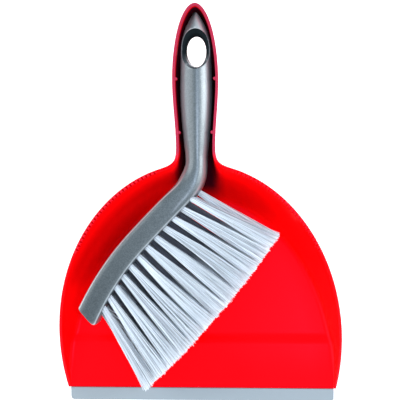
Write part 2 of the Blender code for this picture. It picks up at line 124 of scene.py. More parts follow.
# Comb in the back rim, with painted shade in its notches and painted highlights on its teeth, painted
# more strongly on the left (second) than on the right (first); snap nubs and hanging hole of the pan's
# handle
TOOTH_PITCH = 3.75
NOTCH_WIDTH = 1.8
NOTCH_DEPTH = 2.4
COMB_SKIN = 0.6
COMB_START_Y = 127.0
COMB_TEETH = 26
COMB_PAINTED_LIGHT = (0.25, 0.7)
# Painted shade in the comb's notches and painted highlight on its tooth tops
NOTCH_SHADE = 0.6
TOOTH_HIGHLIGHT = 0.7
NUB_YS = (220.5, 263.5)
NUB_RADIUS = 1.3
NUB_REACH = 2.0
NUB_TOP_BELOW_RIM = 0.5
NUB_HEIGHT = 3.5
PAN_HOLE_Y = 289.5
PAN_HOLE_HALF = (9.2, 15.0)

# Brush: its middle plane passes BRUSH_Z above the ground at ROOT_Y and rises as the handle does
BRUSH_Z = 52.0
BRUSH_AXIS_X = 0.1
BRUSH_TIP_V = 110.9
BEND_START_V = -9.5
BEND_RADIUS = 38.0
BEND_TURN = math.radians(46.0)
BEND_LENGTH = BEND_RADIUS * BEND_TURN
HEAD_FIRST_LENGTH = 52.0
HEAD_FIRST_TURN = math.radians(3.0)
HEAD_LENGTH = 125.0
HEAD_LAST_TURN = math.radians(18.0)
HEAD_END_SLANT = math.radians(24.0)
HEAD_SLANT_LENGTH = 30.0
HEAD_END_ROUND = 2.5
TIP_TO_BEND_END = BRUSH_TIP_V - BEND_START_V + BEND_LENGTH
BRUSH_NOSE_LENGTH = 31.0
BRUSH_NOSE_POWER = 0.76
# Distance from the handle's tip: half depth, half thickness, squareness of the section
BRUSH_SECTIONS = (
    (31.0, 12.35, 10.9, 1.7),
    (66.0, 13.2, 11.0, 1.65),
    (86.0, 12.3, 10.9, 1.7),
    (103.0, 10.7, 10.5, 1.75),
    (120.0, 9.0, 10.2, 1.95),
    (137.0, 10.2, 12.0, 2.5),
    (150.5, 9.6, 14.5, 3.6),
    (168.0, 9.5, 17.0, 5.0),
    (275.5, 9.5, 17.0, 5.0),
)
BRUSH_HOLE_V = 79.5
BRUSH_HOLE_HALF = (6.8, 11.5)
BRUSH_HOLE_LEAN = 1.3
BRUSH_HOLE_REACH = 14.0
BRUSH_HOLE_DRAFT = 2.2
BRUSH_HOLE_SHOULDER = 2.9
BRUSH_HOLE_SHOULDER_TOP = 4.5

# Tufts: three staggered rows, fanning out to a trimmed edge. The inner row carries painted shade near
# its roots, which fades out from a share of its length over a share. The last outer tufts have a few
# short strays that bow away.
ROW_SPACING = 9.5
ROW_SPREAD = 1.2
OUTER_ROW_TUFTS = 12
MIDDLE_ROW_TUFTS = 13
OUTER_ROW_S = (-3.2, 115.0)
MIDDLE_ROW_S = (-8.5, 119.2)
TRIM_START = (67.0, -69.5)
TRIM_END = (-42.9, -196.4)
TRIM_CROWN = 4.5
TUFT_ROOT_RADIUS = 2.5
TUFT_HOLE_RADIUS = 2.9
TUFT_HOLE_DEPTH = 8.0
TUFT_HOLE_OVERRUN = 7.0
TUFT_ROOT_DEPTH = 7.4
TUFT_FAN_POWER = 1.12
INNER_ROW_SHADE_FADE = (0.4, 0.35)
STRAY_BOW = (-9.0, -5.0)
STRAY_SHORT = (16.0, 30.0)

# How finely the meshes are divided
BOWL_FRONT_COLUMNS = 44
BOWL_SIDE_COLUMNS = 26
NECK_COLUMNS = 34
TROUGH_COLUMNS = 22
NOSE_COLUMNS = 44
WALL_ROWS = 6
FILLET_ROWS = 6
FLOOR_ROWS = 7
RIM_ROUND_STEPS = 4
SECTION_CORNERS = 72
BRUSH_NOSE_RINGS = 26
GRIP_RINGS = 44
BEND_RINGS = 24
HEAD_RINGS = 80
HEAD_END_RINGS = 7
NUB_SIDES = 20
PAN_HOLE_SIDES = 72
BRUSH_HOLE_SIDES = 88
BRUSH_HOLE_LEVELS = 12
TUFT_HOLE_SIDES = 14
TUFT_CLUMPS = 15
STRAND_LEVELS = (0.0, 0.1, 0.26, 0.45, 0.68, 0.86, 1.0)

PAN = "pan"
BRUSH = "brush"


# ---- modelling helpers


def lerp(a, b, t):
    return a + (b - a) * t


def eased_corner(start, corner, end, steps):
    """Points on the curve that leaves one line for the other before their corner."""
    return [
        start * (1 - t) ** 2 + corner * 2 * t * (1 - t) + end * t * t
        for t in (i / steps for i in range(steps + 1))
    ]


def smoothstep(t):
    t = min(max(t, 0.0), 1.0)
    return t * t * (3 - 2 * t)


def fade(value, start, span):
    """Rises smoothly from 0 at the start to 1 a span later."""
    return smoothstep((value - start) / span)


def place(x, y, z):
    """A point of the pan in metres, with y counted from the lip's front edge."""
    return Vector((x, y - LENGTH / 2, z)) * MM


def rest_matrix():
    """Carries the brush's own plane to where the brush lies in the pan."""
    return Matrix.Translation(place(0.0, ROOT_Y, BRUSH_Z)) @ Matrix.Rotation(HANDLE_SLOPE, 4, "X")


def select_only(piece):
    bpy.ops.object.select_all(action="DESELECT")
    piece.select_set(True)
    bpy.context.view_layer.objects.active = piece


def active_piece(name):
    """The piece that was just made, under its own name."""
    piece = bpy.context.object
    piece.name = piece.data.name = name
    return piece


def edit_all(piece, *steps):
    """Runs edit mode steps on the whole mesh."""
    select_only(piece)
    bpy.ops.object.mode_set(mode="EDIT")
    bpy.ops.mesh.select_all(action="SELECT")
    for step in steps:
        step()
    bpy.ops.object.mode_set(mode="OBJECT")


def weld():
    bpy.ops.mesh.remove_doubles(threshold=2e-7)


def face_outwards():
    bpy.ops.mesh.normals_make_consistent(inside=False)


def fill_openings():
    """Caps every open edge loop."""
    bpy.ops.mesh.select_all(action="DESELECT")
    bpy.ops.mesh.select_mode(type="EDGE")
    bpy.ops.mesh.select_non_manifold(extend=False, use_wire=False, use_multi_face=False,
                                     use_non_contiguous=False, use_verts=False)
    bpy.ops.mesh.edge_face_add()
    bpy.ops.mesh.select_mode(type="VERT")
    bpy.ops.mesh.select_all(action="SELECT")


def closed_grid(name, points, **marked):
    """A closed piece from a grid whose corners are carried to points and marked with numbers."""
    columns, rows = len(points), len(points[0])
    bpy.ops.mesh.primitive_grid_add(x_subdivisions=columns - 1, y_subdivisions=rows - 1, size=1.0)
    piece = active_piece(name)
    corners = piece.data.vertices
    if len(corners) != columns * rows:
        raise RuntimeError(f"{name}: the grid has {len(corners)} corners")
    spans = Vector((columns - 1, rows - 1))
    cells = [[round((v.co[i] + 0.5) * spans[i]) for i in (0, 1)] for v in corners]
    for label, values in marked.items():
        mark(piece, label, [values[column][row] for column, row in cells])
    for vertex, (column, row) in zip(corners, cells):
        vertex.co = points[column][row]
    edit_all(piece, weld, fill_openings, face_outwards)
    return piece


def mark(piece, name, values):
    """Stores one number for each corner under a name that the finish reads."""
    known = piece.data.attributes.get(name) or piece.data.attributes.new(name, "FLOAT", "POINT")
    known.data.foreach_set("value", values)


def mark_more(piece, name, values):
    """Raises a mark's numbers to at least the given ones."""
    known = np.zeros(len(values))
    piece.data.attributes[name].data.foreach_get("value", known)
    mark(piece, name, np.maximum(known, values))


def apply_tool(piece, tool, operation):
    """Cuts or joins with a helper piece, which is then removed."""
    modifier = piece.modifiers.new("tool", "BOOLEAN")
    modifier.object, modifier.operation, modifier.solver = tool, operation, "EXACT"
    select_only(piece)
    bpy.ops.object.modifier_apply(modifier=modifier.name)
    bpy.data.objects.remove(tool)


def shade(piece, degrees):
    select_only(piece)
    bpy.ops.object.shade_smooth_by_angle(angle=math.radians(degrees))


def finish_piece(piece, material, body, node):
    """Gives a finished piece its finish and its body, and hides the design's node that it stands for."""
    piece.data.materials.clear()
    piece.data.materials.append(material)
    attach(piece, body)
    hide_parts(node)


def tool_cylinder(name, sides, half_x, half_y, low, high):
    """An upright elliptic cylinder between two heights, round the z axis."""
    bpy.ops.mesh.primitive_cylinder_add(vertices=sides, radius=1.0, depth=1.0)
    tool = active_piece(name)
    for vertex in tool.data.vertices:
        height = high if vertex.co.z > 0 else low
        vertex.co = Vector((vertex.co.x * half_x, vertex.co.y * half_y, height)) * MM
    return tool


def joined(name, pieces):
    select_only(pieces[0])
    for piece in pieces[1:]:
        piece.select_set(True)
    bpy.ops.object.join()
    return active_piece(name)


# ---- pan


def rim_height(y):
    """Height of the rim: it sweeps up from the front corner and runs on along the handle."""
    turn = RIM_TURN * (min(y, BOWL_END_Y) - FRONT_Y) / (BOWL_END_Y - FRONT_Y)
    return RIM_FRONT_Z + RIM_RISE * math.sin(turn) + max(y - BOWL_END_Y, 0) * math.tan(HANDLE_SLOPE)


def floor_height(y, wall):
    """Height of the pan's inner floor on its middle line, from the front edge to the nose."""
    if y < STEP_CREST_Y:
        ramp = (y - FRONT_Y) / (STEP_CREST_Y - FRONT_Y)
        return lerp(FRONT_EDGE_TOP, STEP_CREST_TOP, math.sin(ramp * math.pi / 2))
    if y < STEP_FOOT_Y:
        step = (y - STEP_CREST_Y) / (STEP_FOOT_Y - STEP_CREST_Y)
        return lerp(STEP_CREST_TOP, wall, smoothstep(step))
    if y < BACK_FOOT_Y:
        return wall
    if y >= ROOT_Y:
        return rim_height(y) - TROUGH_DEPTH
    mouth_top = rim_height(ROOT_Y) - TROUGH_DEPTH - MOUTH_DROP
    if y < MOUTH_Y:
        rise = (y - BACK_FOOT_Y) / (MOUTH_Y - BACK_FOOT_Y)
        return lerp(wall, mouth_top, rise**1.5)
    ease = (y - MOUTH_Y) / (ROOT_Y - MOUTH_Y)
    return lerp(mouth_top, rim_height(ROOT_Y) - TROUGH_DEPTH, math.sin(ease * math.pi / 2) ** 0.9)


def bowl_point(angle):
    x = BOWL_HALF_WIDTH * math.cos(angle)
    y = BOWL_CENTRE_Y + BOWL_HALF_LENGTH * math.sin(angle)
    normal = Vector((BOWL_HALF_LENGTH * math.cos(angle), BOWL_HALF_WIDTH * math.sin(angle)))
    return Vector((x, y)), normal.normalized()


def angle_at(y):
    return math.asin((y - BOWL_CENTRE_Y) / BOWL_HALF_LENGTH)


def arc_speed(angle):
    return math.hypot(BOWL_HALF_WIDTH * math.sin(angle), BOWL_HALF_LENGTH * math.cos(angle))


def bowl_stations():
    """Angles on the bowl's ellipse with the depth that the comb's notches cut there."""
    front, side = BOWL_FRONT_COLUMNS, BOWL_SIDE_COLUMNS
    stations = [(angle_at(lerp(FRONT_Y, FINE_FRONT_Y, i / front)), 0.0) for i in range(front)]
    start, angle = angle_at(FINE_FRONT_Y), angle_at(COMB_START_Y)
    end = angle - TOOTH_PITCH / 2 / arc_speed(angle)
    stations += [(lerp(start, end, i / side), 0.0) for i in range(side)]
    edge, flank = NOTCH_WIDTH / 2, 0.1
    tooth = ((-edge - flank, 0.0), (-edge + flank, 1.0), (edge - flank, 1.0), (edge + flank, 0.0))
    for _ in range(COMB_TEETH):
        stations += [(angle + along / arc_speed(angle), cut * NOTCH_DEPTH) for along, cut in tooth]
        stations.append((angle + TOOTH_PITCH / 2 / arc_speed(angle), 0.0))
        angle += TOOTH_PITCH / arc_speed(angle)
    stations = [s for s in stations if s[0] < BOWL_END_ANGLE - 0.003]
    return stations + [(BOWL_END_ANGLE, 0.0)]


def grip_half_width(y):
    return lerp(ROOT_HALF_WIDTH, GRIP_HALF_WIDTH, smoothstep((y - ROOT_Y) / (GRIP_Y - ROOT_Y)))


# A rim point with its outward normal, the inset of the wall's foot and the fillet there, how far
# the floor's middle is pulled towards the front, and the depth of the comb's notch
Column = namedtuple("Column", "point normal inset fillet pull notch", defaults=(0.0, 0.0))


def rim_columns(wall):
    """Columns from the front corner to the handle's tip, on the right half."""
    columns = []
    for angle, notch in bowl_stations():
        point, normal = bowl_point(angle)
        if not columns:
            normal = Vector((1.0, 0.0))
        drop = rim_height(point.y) - floor_height(min(point.y, BACK_FOOT_Y - 1), wall)
        inset = wall + drop * math.tan(BOWL_DRAFT)
        columns.append(Column(point, normal, inset, BOWL_FILLET, notch=notch))

    a, start_normal = bowl_point(BOWL_END_ANGLE)
    bowl_inset = columns[-1].inset
    trough_inset = wall + TROUGH_DEPTH * math.tan(TROUGH_DRAFT)
    b = a + Vector((-start_normal.y, start_normal.x)) * ROOT_REACH
    d = Vector((ROOT_HALF_WIDTH, ROOT_Y))
    c = d - Vector((0, ROOT_REACH))
    for i in range(1, NECK_COLUMNS):
        t = i / NECK_COLUMNS
        point = a * (1 - t) ** 3 + b * 3 * t * (1 - t) ** 2 + c * 3 * t * t * (1 - t) + d * t**3
        along = (b - a) * (1 - t) ** 2 + (c - b) * 2 * t * (1 - t) + (d - c) * t * t
        normal = Vector((along.y, -along.x)).normalized()
        blend = smoothstep(t / 0.75)
        inset = lerp(bowl_inset, trough_inset, blend)
        fillet = lerp(BOWL_FILLET, TROUGH_FILLET, blend)
        columns.append(Column(point, normal, inset, fillet))

    for i in range(TROUGH_COLUMNS):
        y = lerp(ROOT_Y, GRIP_Y, i / TROUGH_COLUMNS)
        slope = (grip_half_width(y + 0.5) - grip_half_width(y - 0.5)) if i else 0.0
        point, normal = Vector((grip_half_width(y), y)), Vector((1.0, -slope))
        columns.append(Column(point, normal.normalized(), trough_inset, TROUGH_FILLET))

    for i in range(NOSE_COLUMNS + 1):
        angle = math.pi / 2 * i / NOSE_COLUMNS
        across = max(math.cos(angle), 0.0) ** (2 / NOSE_SQUARENESS) if i < NOSE_COLUMNS else 0.0
        along = math.sin(angle) ** (2 / NOSE_SQUARENESS)
        point = Vector((GRIP_HALF_WIDTH * across, GRIP_Y + NOSE_LENGTH * along))
        steepness = NOSE_SQUARENESS - 1
        normal = Vector((across**steepness / GRIP_HALF_WIDTH, along**steepness / NOSE_LENGTH))
        pull = NOSE_PULL * along**4
        columns.append(Column(point, normal.normalized(), trough_inset, TROUGH_FILLET, pull))
    return columns


def column_profile(column, wall):
    """One inner profile of the pan, from the rim down the wall and over the floor to the middle."""
    rim_xy = column.point - column.normal * wall
    foot_xy = column.point - column.normal * column.inset
    foot_xy.x = max(foot_xy.x, 0.0)
    rim = Vector((*rim_xy, rim_height(column.point.y)))
    foot = Vector((*foot_xy, floor_height(foot_xy.y, wall)))
    middle_y = foot_xy.y - column.pull
    middle = Vector((0.0, middle_y, floor_height(middle_y, wall)))
    leg = min(column.fillet, 0.45 * (rim - foot).length, 0.6 * (middle - foot).length)
    wall_end = foot + (rim - foot).normalized() * leg
    floor_end = foot + (middle - foot).normalized() * leg
    profile = [rim.lerp(wall_end, i / WALL_ROWS) for i in range(WALL_ROWS)]
    profile += eased_corner(wall_end, foot, floor_end, FILLET_ROWS)[:-1]
    return profile + [floor_end.lerp(middle, i / FLOOR_ROWS) for i in range(FLOOR_ROWS + 1)]


def outer_profiles(inner, outward, turn_column, wall):
    """The outside of the shell, one wall thickness behind the inner profiles."""
    rows = len(inner[0])
    outer = []
    for c, profile in enumerate(inner):
        before, after = inner[max(c - 1, 0)], inner[min(c + 1, len(inner) - 1)]
        shifted = []
        for r, p in enumerate(profile):
            across = profile[min(r + 1, rows - 1)] - profile[max(r - 1, 0)]
            if r == rows - 1:
                across = Vector((1.0, 0.0, 0.0)) * (-1 if c < turn_column else 1)
            normal = across.cross(after[r] - before[r])
            if normal.length < 1e-9 or (r == rows - 1 and c == turn_column - 1):
                normal = Vector((0.0, -math.sin(HANDLE_SLOPE), math.cos(HANDLE_SLOPE)))
            normal.normalize()
            if normal.z < 0:
                normal.negate()
            shifted.append(p - normal * wall)
        shifted[0] = profile[0] + Vector((*outward[c], 0.0)) * wall
        outer.append([Vector((p.x, p.y, max(p.z, 0.0))) for p in shifted])
    return outer


def rim_section(inside, outside, notch):
    """The profile's upper part with eased rim edges, let down by the notch but for a thin skin."""
    into, out = inside[0], outside[0]
    down_in = (inside[WALL_ROWS] - into).normalized()
    down_out = (outside[WALL_ROWS] - out).normalized()
    across = (out - into).normalized()
    into = into + down_in * notch
    skin = out - across * COMB_SKIN
    inner_wall, outer_wall = [], []
    for i in range(1, WALL_ROWS):
        inner_wall.append((into + down_in * RIM_ROUND).lerp(inside[WALL_ROWS], i / WALL_ROWS))
        outer_wall.append((out + down_out * RIM_ROUND).lerp(outside[WALL_ROWS], i / WALL_ROWS))
    steps = RIM_ROUND_STEPS
    over = eased_corner(into + down_in * RIM_ROUND, into, into + across * RIM_ROUND, steps)
    over += [skin + down_out * notch, skin]
    over += eased_corner(out - across * RIM_ROUND, out, out + down_out * RIM_ROUND, steps)
    return inner_wall[::-1] + over + outer_wall


def pan_points(wall):
    """Rows of points from the floor's middle over the rim to the underside's middle, with marks.

    One mark paints shade into the comb's notches and the other paints highlights on the tops of its teeth.
    """
    right = rim_columns(wall)
    inner = [column_profile(column, wall) for column in right]
    outward = [column.normal for column in right]
    inner += [[Vector((-p.x, p.y, p.z)) for p in profile] for profile in inner[:-1]][::-1]
    outward += [Vector((-n.x, n.y)) for n in outward[:-1]][::-1]
    outer = outer_profiles(inner, outward, len(right), wall)
    strengths = [COMB_PAINTED_LIGHT[0]] * len(right) + [COMB_PAINTED_LIGHT[1]] * (len(right) - 1)
    points, notches, teeth = [], [], []
    for inside, outside, column, strength in zip(inner, outer, right + right[-2::-1], strengths):
        combed = COMB_START_Y - TOOTH_PITCH < column.point.y < BOWL_END_Y - 1.0
        rim = rim_section(inside, outside, column.notch)
        section = inside[WALL_ROWS:][::-1] + rim + outside[WALL_ROWS:]
        points.append([place(*p) for p in section])
        cut = len(inside) - 1
        top = [strength * (cut < i <= cut + RIM_ROUND_STEPS + 2) for i in range(len(section))]
        # Painted shade in the notches and painted highlight on the tops of the teeth
        notches.append([NOTCH_SHADE * amount * (column.notch > 0) for amount in top])
        teeth.append([TOOTH_HIGHLIGHT * amount * (combed and column.notch == 0) for amount in top])
    return points, notches, teeth


def snap_nub(y, side, wall):
    """One small round-topped nub on the handle's inner wall."""
    top = rim_height(y) - NUB_TOP_BELOW_RIM
    low = top - NUB_HEIGHT
    nub = tool_cylinder("nub_tool", NUB_SIDES, NUB_REACH, NUB_RADIUS, low, top)
    nub.data.transform(Matrix.Translation(place(side * (grip_half_width(y) - wall), y, 0.0)))
    return nub


def handle_rim_highlight(at):
    """Painted highlight on the handle's rim and on top of the nubs: how much of it lies at a point."""
    y, z = at.y / MM + LENGTH / 2, at.z / MM
    return fade(y, ROOT_Y - 14, 12) * fade(z, rim_height(y) - 1.5, 0.9)


def pan_shade(at, normal):
    """How deep a point of the pan lies in shade: in the trough, its mouth and the front roll."""
    x, y, z = abs(at.x) / MM, at.y / MM + LENGTH / 2, at.z / MM
    beyond = max(y - GRIP_Y, 0.0) / NOSE_LENGTH**2
    facing_out = normal.x * at.x / MM / GRIP_HALF_WIDTH**2 + normal.y * beyond
    if (normal.z < 0.3 and facing_out > -1e-6) or (normal.z < -0.1 and y < ROOT_Y):
        return 0.0
    if y < FRONT_Y + FRONT_ROLL:
        return FRONT_ROLL_SHADE * (1 - fade(y, FRONT_Y, FRONT_ROLL))
    depth = rim_height(y) - z
    trough = fade(y, ROOT_Y - 8, 16) * fade(depth, 0.8, 4.5)
    mouth = fade(y, BACK_FOOT_Y, 14) * fade(depth, 3, 9)
    return max(trough, mouth * (1 - fade(x, 11, 13)))


def make_pan(wall, material):
    points, notches, teeth = pan_points(wall / MM)
    pan = closed_grid("pan_shell", points, shade=notches, pale=teeth)
    nubs = [snap_nub(y, side, wall / MM) for y in NUB_YS for side in (1, -1)]
    apply_tool(pan, joined("nub_tools", nubs), "UNION")
    low, high = (floor_height(PAN_HOLE_Y, wall / MM) + past for past in (-8, 8))
    hole = tool_cylinder("pan_hole_tool", PAN_HOLE_SIDES, *PAN_HOLE_HALF, low, high)
    hole.data.transform(Matrix.Translation(place(0.0, PAN_HOLE_Y, 0.0)))
    apply_tool(pan, hole, "DIFFERENCE")
    shade(pan, 32)
    mark_more(pan, "shade", [pan_shade(v.co, v.normal) for v in pan.data.vertices])
    # Painted highlight on the handle's rim and the nub tops
    mark_more(pan, "pale", [handle_rim_highlight(v.co) for v in pan.data.vertices])
    finish_piece(pan, material, PAN, "pan_body")


# ---- lip


def pick_edges(piece, wanted):
    """Selects in edit mode the edges for which wanted(start, end) holds, and nothing else."""
    bpy.ops.mesh.select_mode(type="EDGE")
    bpy.ops.mesh.select_all(action="DESELECT")
    work = bmesh.from_edit_mesh(piece.data)
    for edge in work.edges:
        edge.select_set(wanted(edge.verts[0].co, edge.verts[1].co))
    work.select_flush_mode()
    bmesh.update_edit_mesh(piece.data)


def make_lip(edge_top, corner, material):
    """The soft strip along the front edge: a wedge with rounded front corners and eased edges."""
    low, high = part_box("rubber_lip")
    size, middle = high - low, (low + high) / 2
    bpy.ops.mesh.primitive_cube_add(size=1.0)
    lip = active_piece("lip_strip")
    for vertex in lip.data.vertices:
        vertex.co = Vector(vertex.co[i] * size[i] + middle[i] for i in range(3))
        if vertex.co.y < middle.y and vertex.co.z > middle.z:
            vertex.co.z = low.z + edge_top
    select_only(lip)
    bpy.ops.object.mode_set(mode="EDIT")
    slack = 1e-5
    top, foot = low.z + edge_top - slack, low.z + slack
    for wanted, offset, segments in (
        (lambda a, b: (a.xy - b.xy).length < slack and a.y < middle.y, corner, 8),
        (lambda a, b: min(a.z, b.z) > top, LIP_TOP_EASE * MM, 3),
        (lambda a, b: max(a.z, b.z) < foot and min(a.y, b.y) < high.y - slack, LIP_LOW_EASE * MM, 2),
    ):
        pick_edges(lip, wanted)
        bpy.ops.mesh.bevel(offset=offset, segments=segments, affect="EDGES")
    bpy.ops.object.mode_set(mode="OBJECT")
    shade(lip, 40)
    finish_piece(lip, material, PAN, "rubber_lip")


# ---- brush


def smooth_through(keys, at):
    """Values that pass smoothly through rows of (place, value, value, ...)."""
    at = min(max(at, keys[0][0]), keys[-1][0])
    i = max(k for k in range(len(keys) - 1) if keys[k][0] <= at)

    def slopes(k):
        low, high = keys[max(k - 1, 0)], keys[min(k + 1, len(keys) - 1)]
        return [(b - a) / (high[0] - low[0]) for a, b in zip(low[1:], high[1:])]

    low, high = keys[i], keys[i + 1]
    span = high[0] - low[0]
    t = (at - low[0]) / span
    values = []
    for a, b, slope_a, slope_b in zip(low[1:], high[1:], slopes(i), slopes(i + 1)):
        start = (1 + 2 * t) * (1 - t) ** 2 * a + t * (1 - t) ** 2 * span * slope_a
        end = t * t * (3 - 2 * t) * b - t * t * (1 - t) * span * slope_b
        values.append(start + end)
    return values


def arc_step(point, turn, length, turned):
    """Follows an arc: turn is the heading's angle from straight down towards -X."""
    if abs(turned) < 1e-9:
        return point + Vector((-math.sin(turn), -math.cos(turn))) * length, turn
    radius = length / turned
    shift = (math.cos(turn + turned) - math.cos(turn), math.sin(turn) - math.sin(turn + turned))
    return point + Vector(shift) * radius, turn + turned


def centreline(s):
    """Point, heading and sideways direction on the brush's middle line.

    s is 0 where the neck's bend ends and the head begins; sideways points to the bristles.
    """
    point, turn = Vector((BRUSH_AXIS_X, BEND_START_V)), 0.0
    left = s + BEND_LENGTH
    if left <= 0:
        point = point - Vector((0.0, left))
    else:
        head_rest = HEAD_LENGTH - HEAD_FIRST_LENGTH
        lengths = (BEND_LENGTH, HEAD_FIRST_LENGTH, head_rest)
        for length, turned in zip(lengths, (BEND_TURN, -HEAD_FIRST_TURN, -HEAD_LAST_TURN)):
            part = left if length == head_rest else min(left, length)
            point, turn = arc_step(point, turn, part, turned * part / length)
            left -= part
            if left <= 0:
                break
    heading = Vector((-math.sin(turn), -math.cos(turn)))
    return point, heading, Vector((-heading.y, heading.x))


def brush_section(s):
    """Half depth, half thickness and squareness of the brush at s."""
    from_tip = TIP_TO_BEND_END + s
    depth, thickness, square = smooth_through(BRUSH_SECTIONS, from_tip)
    if from_tip < BRUSH_NOSE_LENGTH:
        shrink = math.sin(math.pi / 2 * from_tip / BRUSH_NOSE_LENGTH) ** BRUSH_NOSE_POWER
        depth, thickness = depth * shrink, thickness * shrink
    return depth, thickness, square


def ring_turns(count, first=0.5):
    """Angles round a closed ring, which ends where it starts."""
    return [2 * math.pi * (i % count + first) / count for i in range(count + 1)]


def section_ring(point, sideways, depth, thickness, square):
    """A closed ring with the outline of a superellipse: 2 is round and higher is boxier."""
    ring = []
    for angle in ring_turns(SECTION_CORNERS):
        c, s = math.cos(angle), math.sin(angle)
        across = math.copysign(abs(c) ** (2 / square), c) * depth
        up = math.copysign(abs(s) ** (2 / square), s) * thickness
        flat = point + sideways * across
        ring.append(Vector((flat.x, flat.y, up)) * MM)
    return ring


def near(angle, degrees, width):
    """How near an angle is to another: 1 where they meet and next to nothing two widths away."""
    return math.exp(-(((math.degrees(angle) - degrees) / width) ** 2))


def painted_highlight(angle, s):
    """How much painted highlight lies round the section: on the head's edges, the handle's sides and the
    nose.
    """
    head = fade(s, -22, 26)
    nose = 1 - fade(TIP_TO_BEND_END + s, 16, 14)
    edges = head * 0.75 * (near(angle, 45, 8) + near(angle, 135, 8))
    sides = (1 - head) * (0.45 * near(angle, 155, 16) + 0.26 * near(angle, 40, 18))
    return edges + sides + 0.6 * nose * near(angle, 65, 34)


def painted_face_shade(angle, s):
    """How much painted shade lies round the section: on the handle's upper face, and on the head's flat
    face, more so to its end; the finish turns dark and matte there.
    """
    flat = near(angle, 90, 38)
    handle = 0.22 * (1 - fade(s, -40, 30)) * near(angle, 105, 26)
    return handle + flat * (0.3 * fade(s, -20, 30) + 0.2 * fade(s, 0, HEAD_LENGTH))


def brush_points():
    """Rings of points from the handle's tip to the head's end, with their painted highlight and painted
    shade.
    """
    nose = BRUSH_NOSE_RINGS
    distances = [BRUSH_NOSE_LENGTH * (1 - math.cos(math.pi / 2 * i / nose)) for i in range(1, nose)]
    grip_length = TIP_TO_BEND_END - BEND_LENGTH - BRUSH_NOSE_LENGTH
    distances += [BRUSH_NOSE_LENGTH + grip_length * i / GRIP_RINGS for i in range(GRIP_RINGS)]
    stations = [d - TIP_TO_BEND_END for d in distances]
    stations += [-BEND_LENGTH * (1 - i / BEND_RINGS) for i in range(BEND_RINGS)]
    stations += [HEAD_LENGTH * i / HEAD_RINGS for i in range(HEAD_RINGS + 1)]
    rings, pale, painted_shade = [], [], []
    turns = ring_turns(SECTION_CORNERS)
    for s in stations:
        point, heading, sideways = centreline(s)
        pale.append([painted_highlight(angle, s) for angle in turns])
        painted_shade.append([painted_face_shade(angle, s) for angle in turns])
        slant = HEAD_END_SLANT * fade(s, HEAD_LENGTH - HEAD_SLANT_LENGTH, HEAD_SLANT_LENGTH)
        sideways = sideways * math.cos(slant) + heading * math.sin(slant)
        depth, thickness, square = brush_section(s)
        depth /= math.cos(slant)
        rings.append(section_ring(point, sideways, depth, thickness, square))
    forward = Vector((sideways.y, -sideways.x))
    for i in range(1, HEAD_END_RINGS + 1):
        turn = math.pi / 2 * i / HEAD_END_RINGS
        at = point + forward * HEAD_END_ROUND * math.sin(turn)
        less = HEAD_END_ROUND * (1 - math.cos(turn))
        rings.append(section_ring(at, sideways, depth - less, thickness - less, square))
        pale.append(pale[-1])
        painted_shade.append(painted_shade[-1])
    return rings, pale, painted_shade


def hanging_hole_at(up):
    """Half width, half length and middle of the hanging hole at a height in the brush."""
    rise = (up + BRUSH_HOLE_REACH) / BRUSH_HOLE_REACH
    flare = BRUSH_HOLE_DRAFT * min(rise, 1.0)
    flare += BRUSH_HOLE_SHOULDER * smoothstep(up / BRUSH_HOLE_SHOULDER_TOP)
    middle_v = BRUSH_HOLE_V + BRUSH_HOLE_LEAN * rise / 2
    return BRUSH_HOLE_HALF[0] + flare, BRUSH_HOLE_HALF[1] + flare, middle_v


def hole_marks(at):
    """Shade inside the hanging hole and light on its edge, at a point in the brush's own plane."""
    x, v, up = at.x / MM - BRUSH_AXIS_X, at.y / MM, at.z / MM
    half_x, half_y, middle_v = hanging_hole_at(up)
    along = (v - middle_v) / half_y
    if abs(math.hypot(x / half_x, along) - 1) > 0.03:
        return 0.0, 0.0
    depth, thickness, square = brush_section(BRUSH_TIP_V - v - TIP_TO_BEND_END)
    face = thickness * max(1 - min(abs(x) / depth, 1.0) ** square, 0.0) ** (1 / square)
    below = face - up
    shaded = fade(below, 0.2, 1.2) * fade(along, -1.05, 0.9)
    return shaded, 0.7 * (1 - fade(abs(below), 0, 0.4)) * fade(along, -0.8, 0.5)


def hanging_hole_tool():
    """An elliptic tool: a steep hole that opens over a shoulder into a wide mouth on top."""
    count = BRUSH_HOLE_LEVELS
    levels = [BRUSH_HOLE_SHOULDER_TOP * i / count for i in range(count + 1)]
    rings = []
    for up in (-BRUSH_HOLE_REACH, *levels, BRUSH_HOLE_REACH):
        half_x, half_y, middle_v = hanging_hole_at(up)
        rings.append([
            Vector((BRUSH_AXIS_X + half_x * math.cos(a), middle_v + half_y * math.sin(a), up)) * MM
            for a in ring_turns(BRUSH_HOLE_SIDES, 0.0)
        ])
    return closed_grid("hanging_hole_tool", rings)


def trim_point(t):
    """A point on the bristles' trimmed edge, a chord that is crowned a little in its middle."""
    chord = Vector(TRIM_END) - Vector(TRIM_START)
    outward = Vector((-chord.y, chord.x)).normalized()
    return Vector(TRIM_START) + chord * t + outward * TRIM_CROWN * (1 - (2 * t - 1) ** 2)


# A tuft's row, its place among how many, its root on the bristle face, its tip on the trimmed
# edge and the stretch of that edge which it fills
Tuft = namedtuple("Tuft", "row index count root tip cell")


def all_tufts():
    rows = (
        ("upper", ROW_SPACING, OUTER_ROW_TUFTS, OUTER_ROW_S),
        ("middle", 0.0, MIDDLE_ROW_TUFTS, MIDDLE_ROW_S),
        ("lower", -ROW_SPACING, OUTER_ROW_TUFTS, OUTER_ROW_S),
    )
    for row, up, count, (first_s, last_s) in rows:
        for i in range(count):
            s = lerp(first_s, last_s, i / (count - 1))
            point, _, sideways = centreline(s)
            face = point + sideways * brush_section(s)[0]
            tip = trim_point((i + 0.5) / count).to_3d() + Vector((0.0, 0.0, up * ROW_SPREAD))
            cell = trim_point(i / count) - trim_point((i + 1) / count)
            yield Tuft(row, i, count, Vector((face.x, face.y, up)), tip, cell.to_3d())


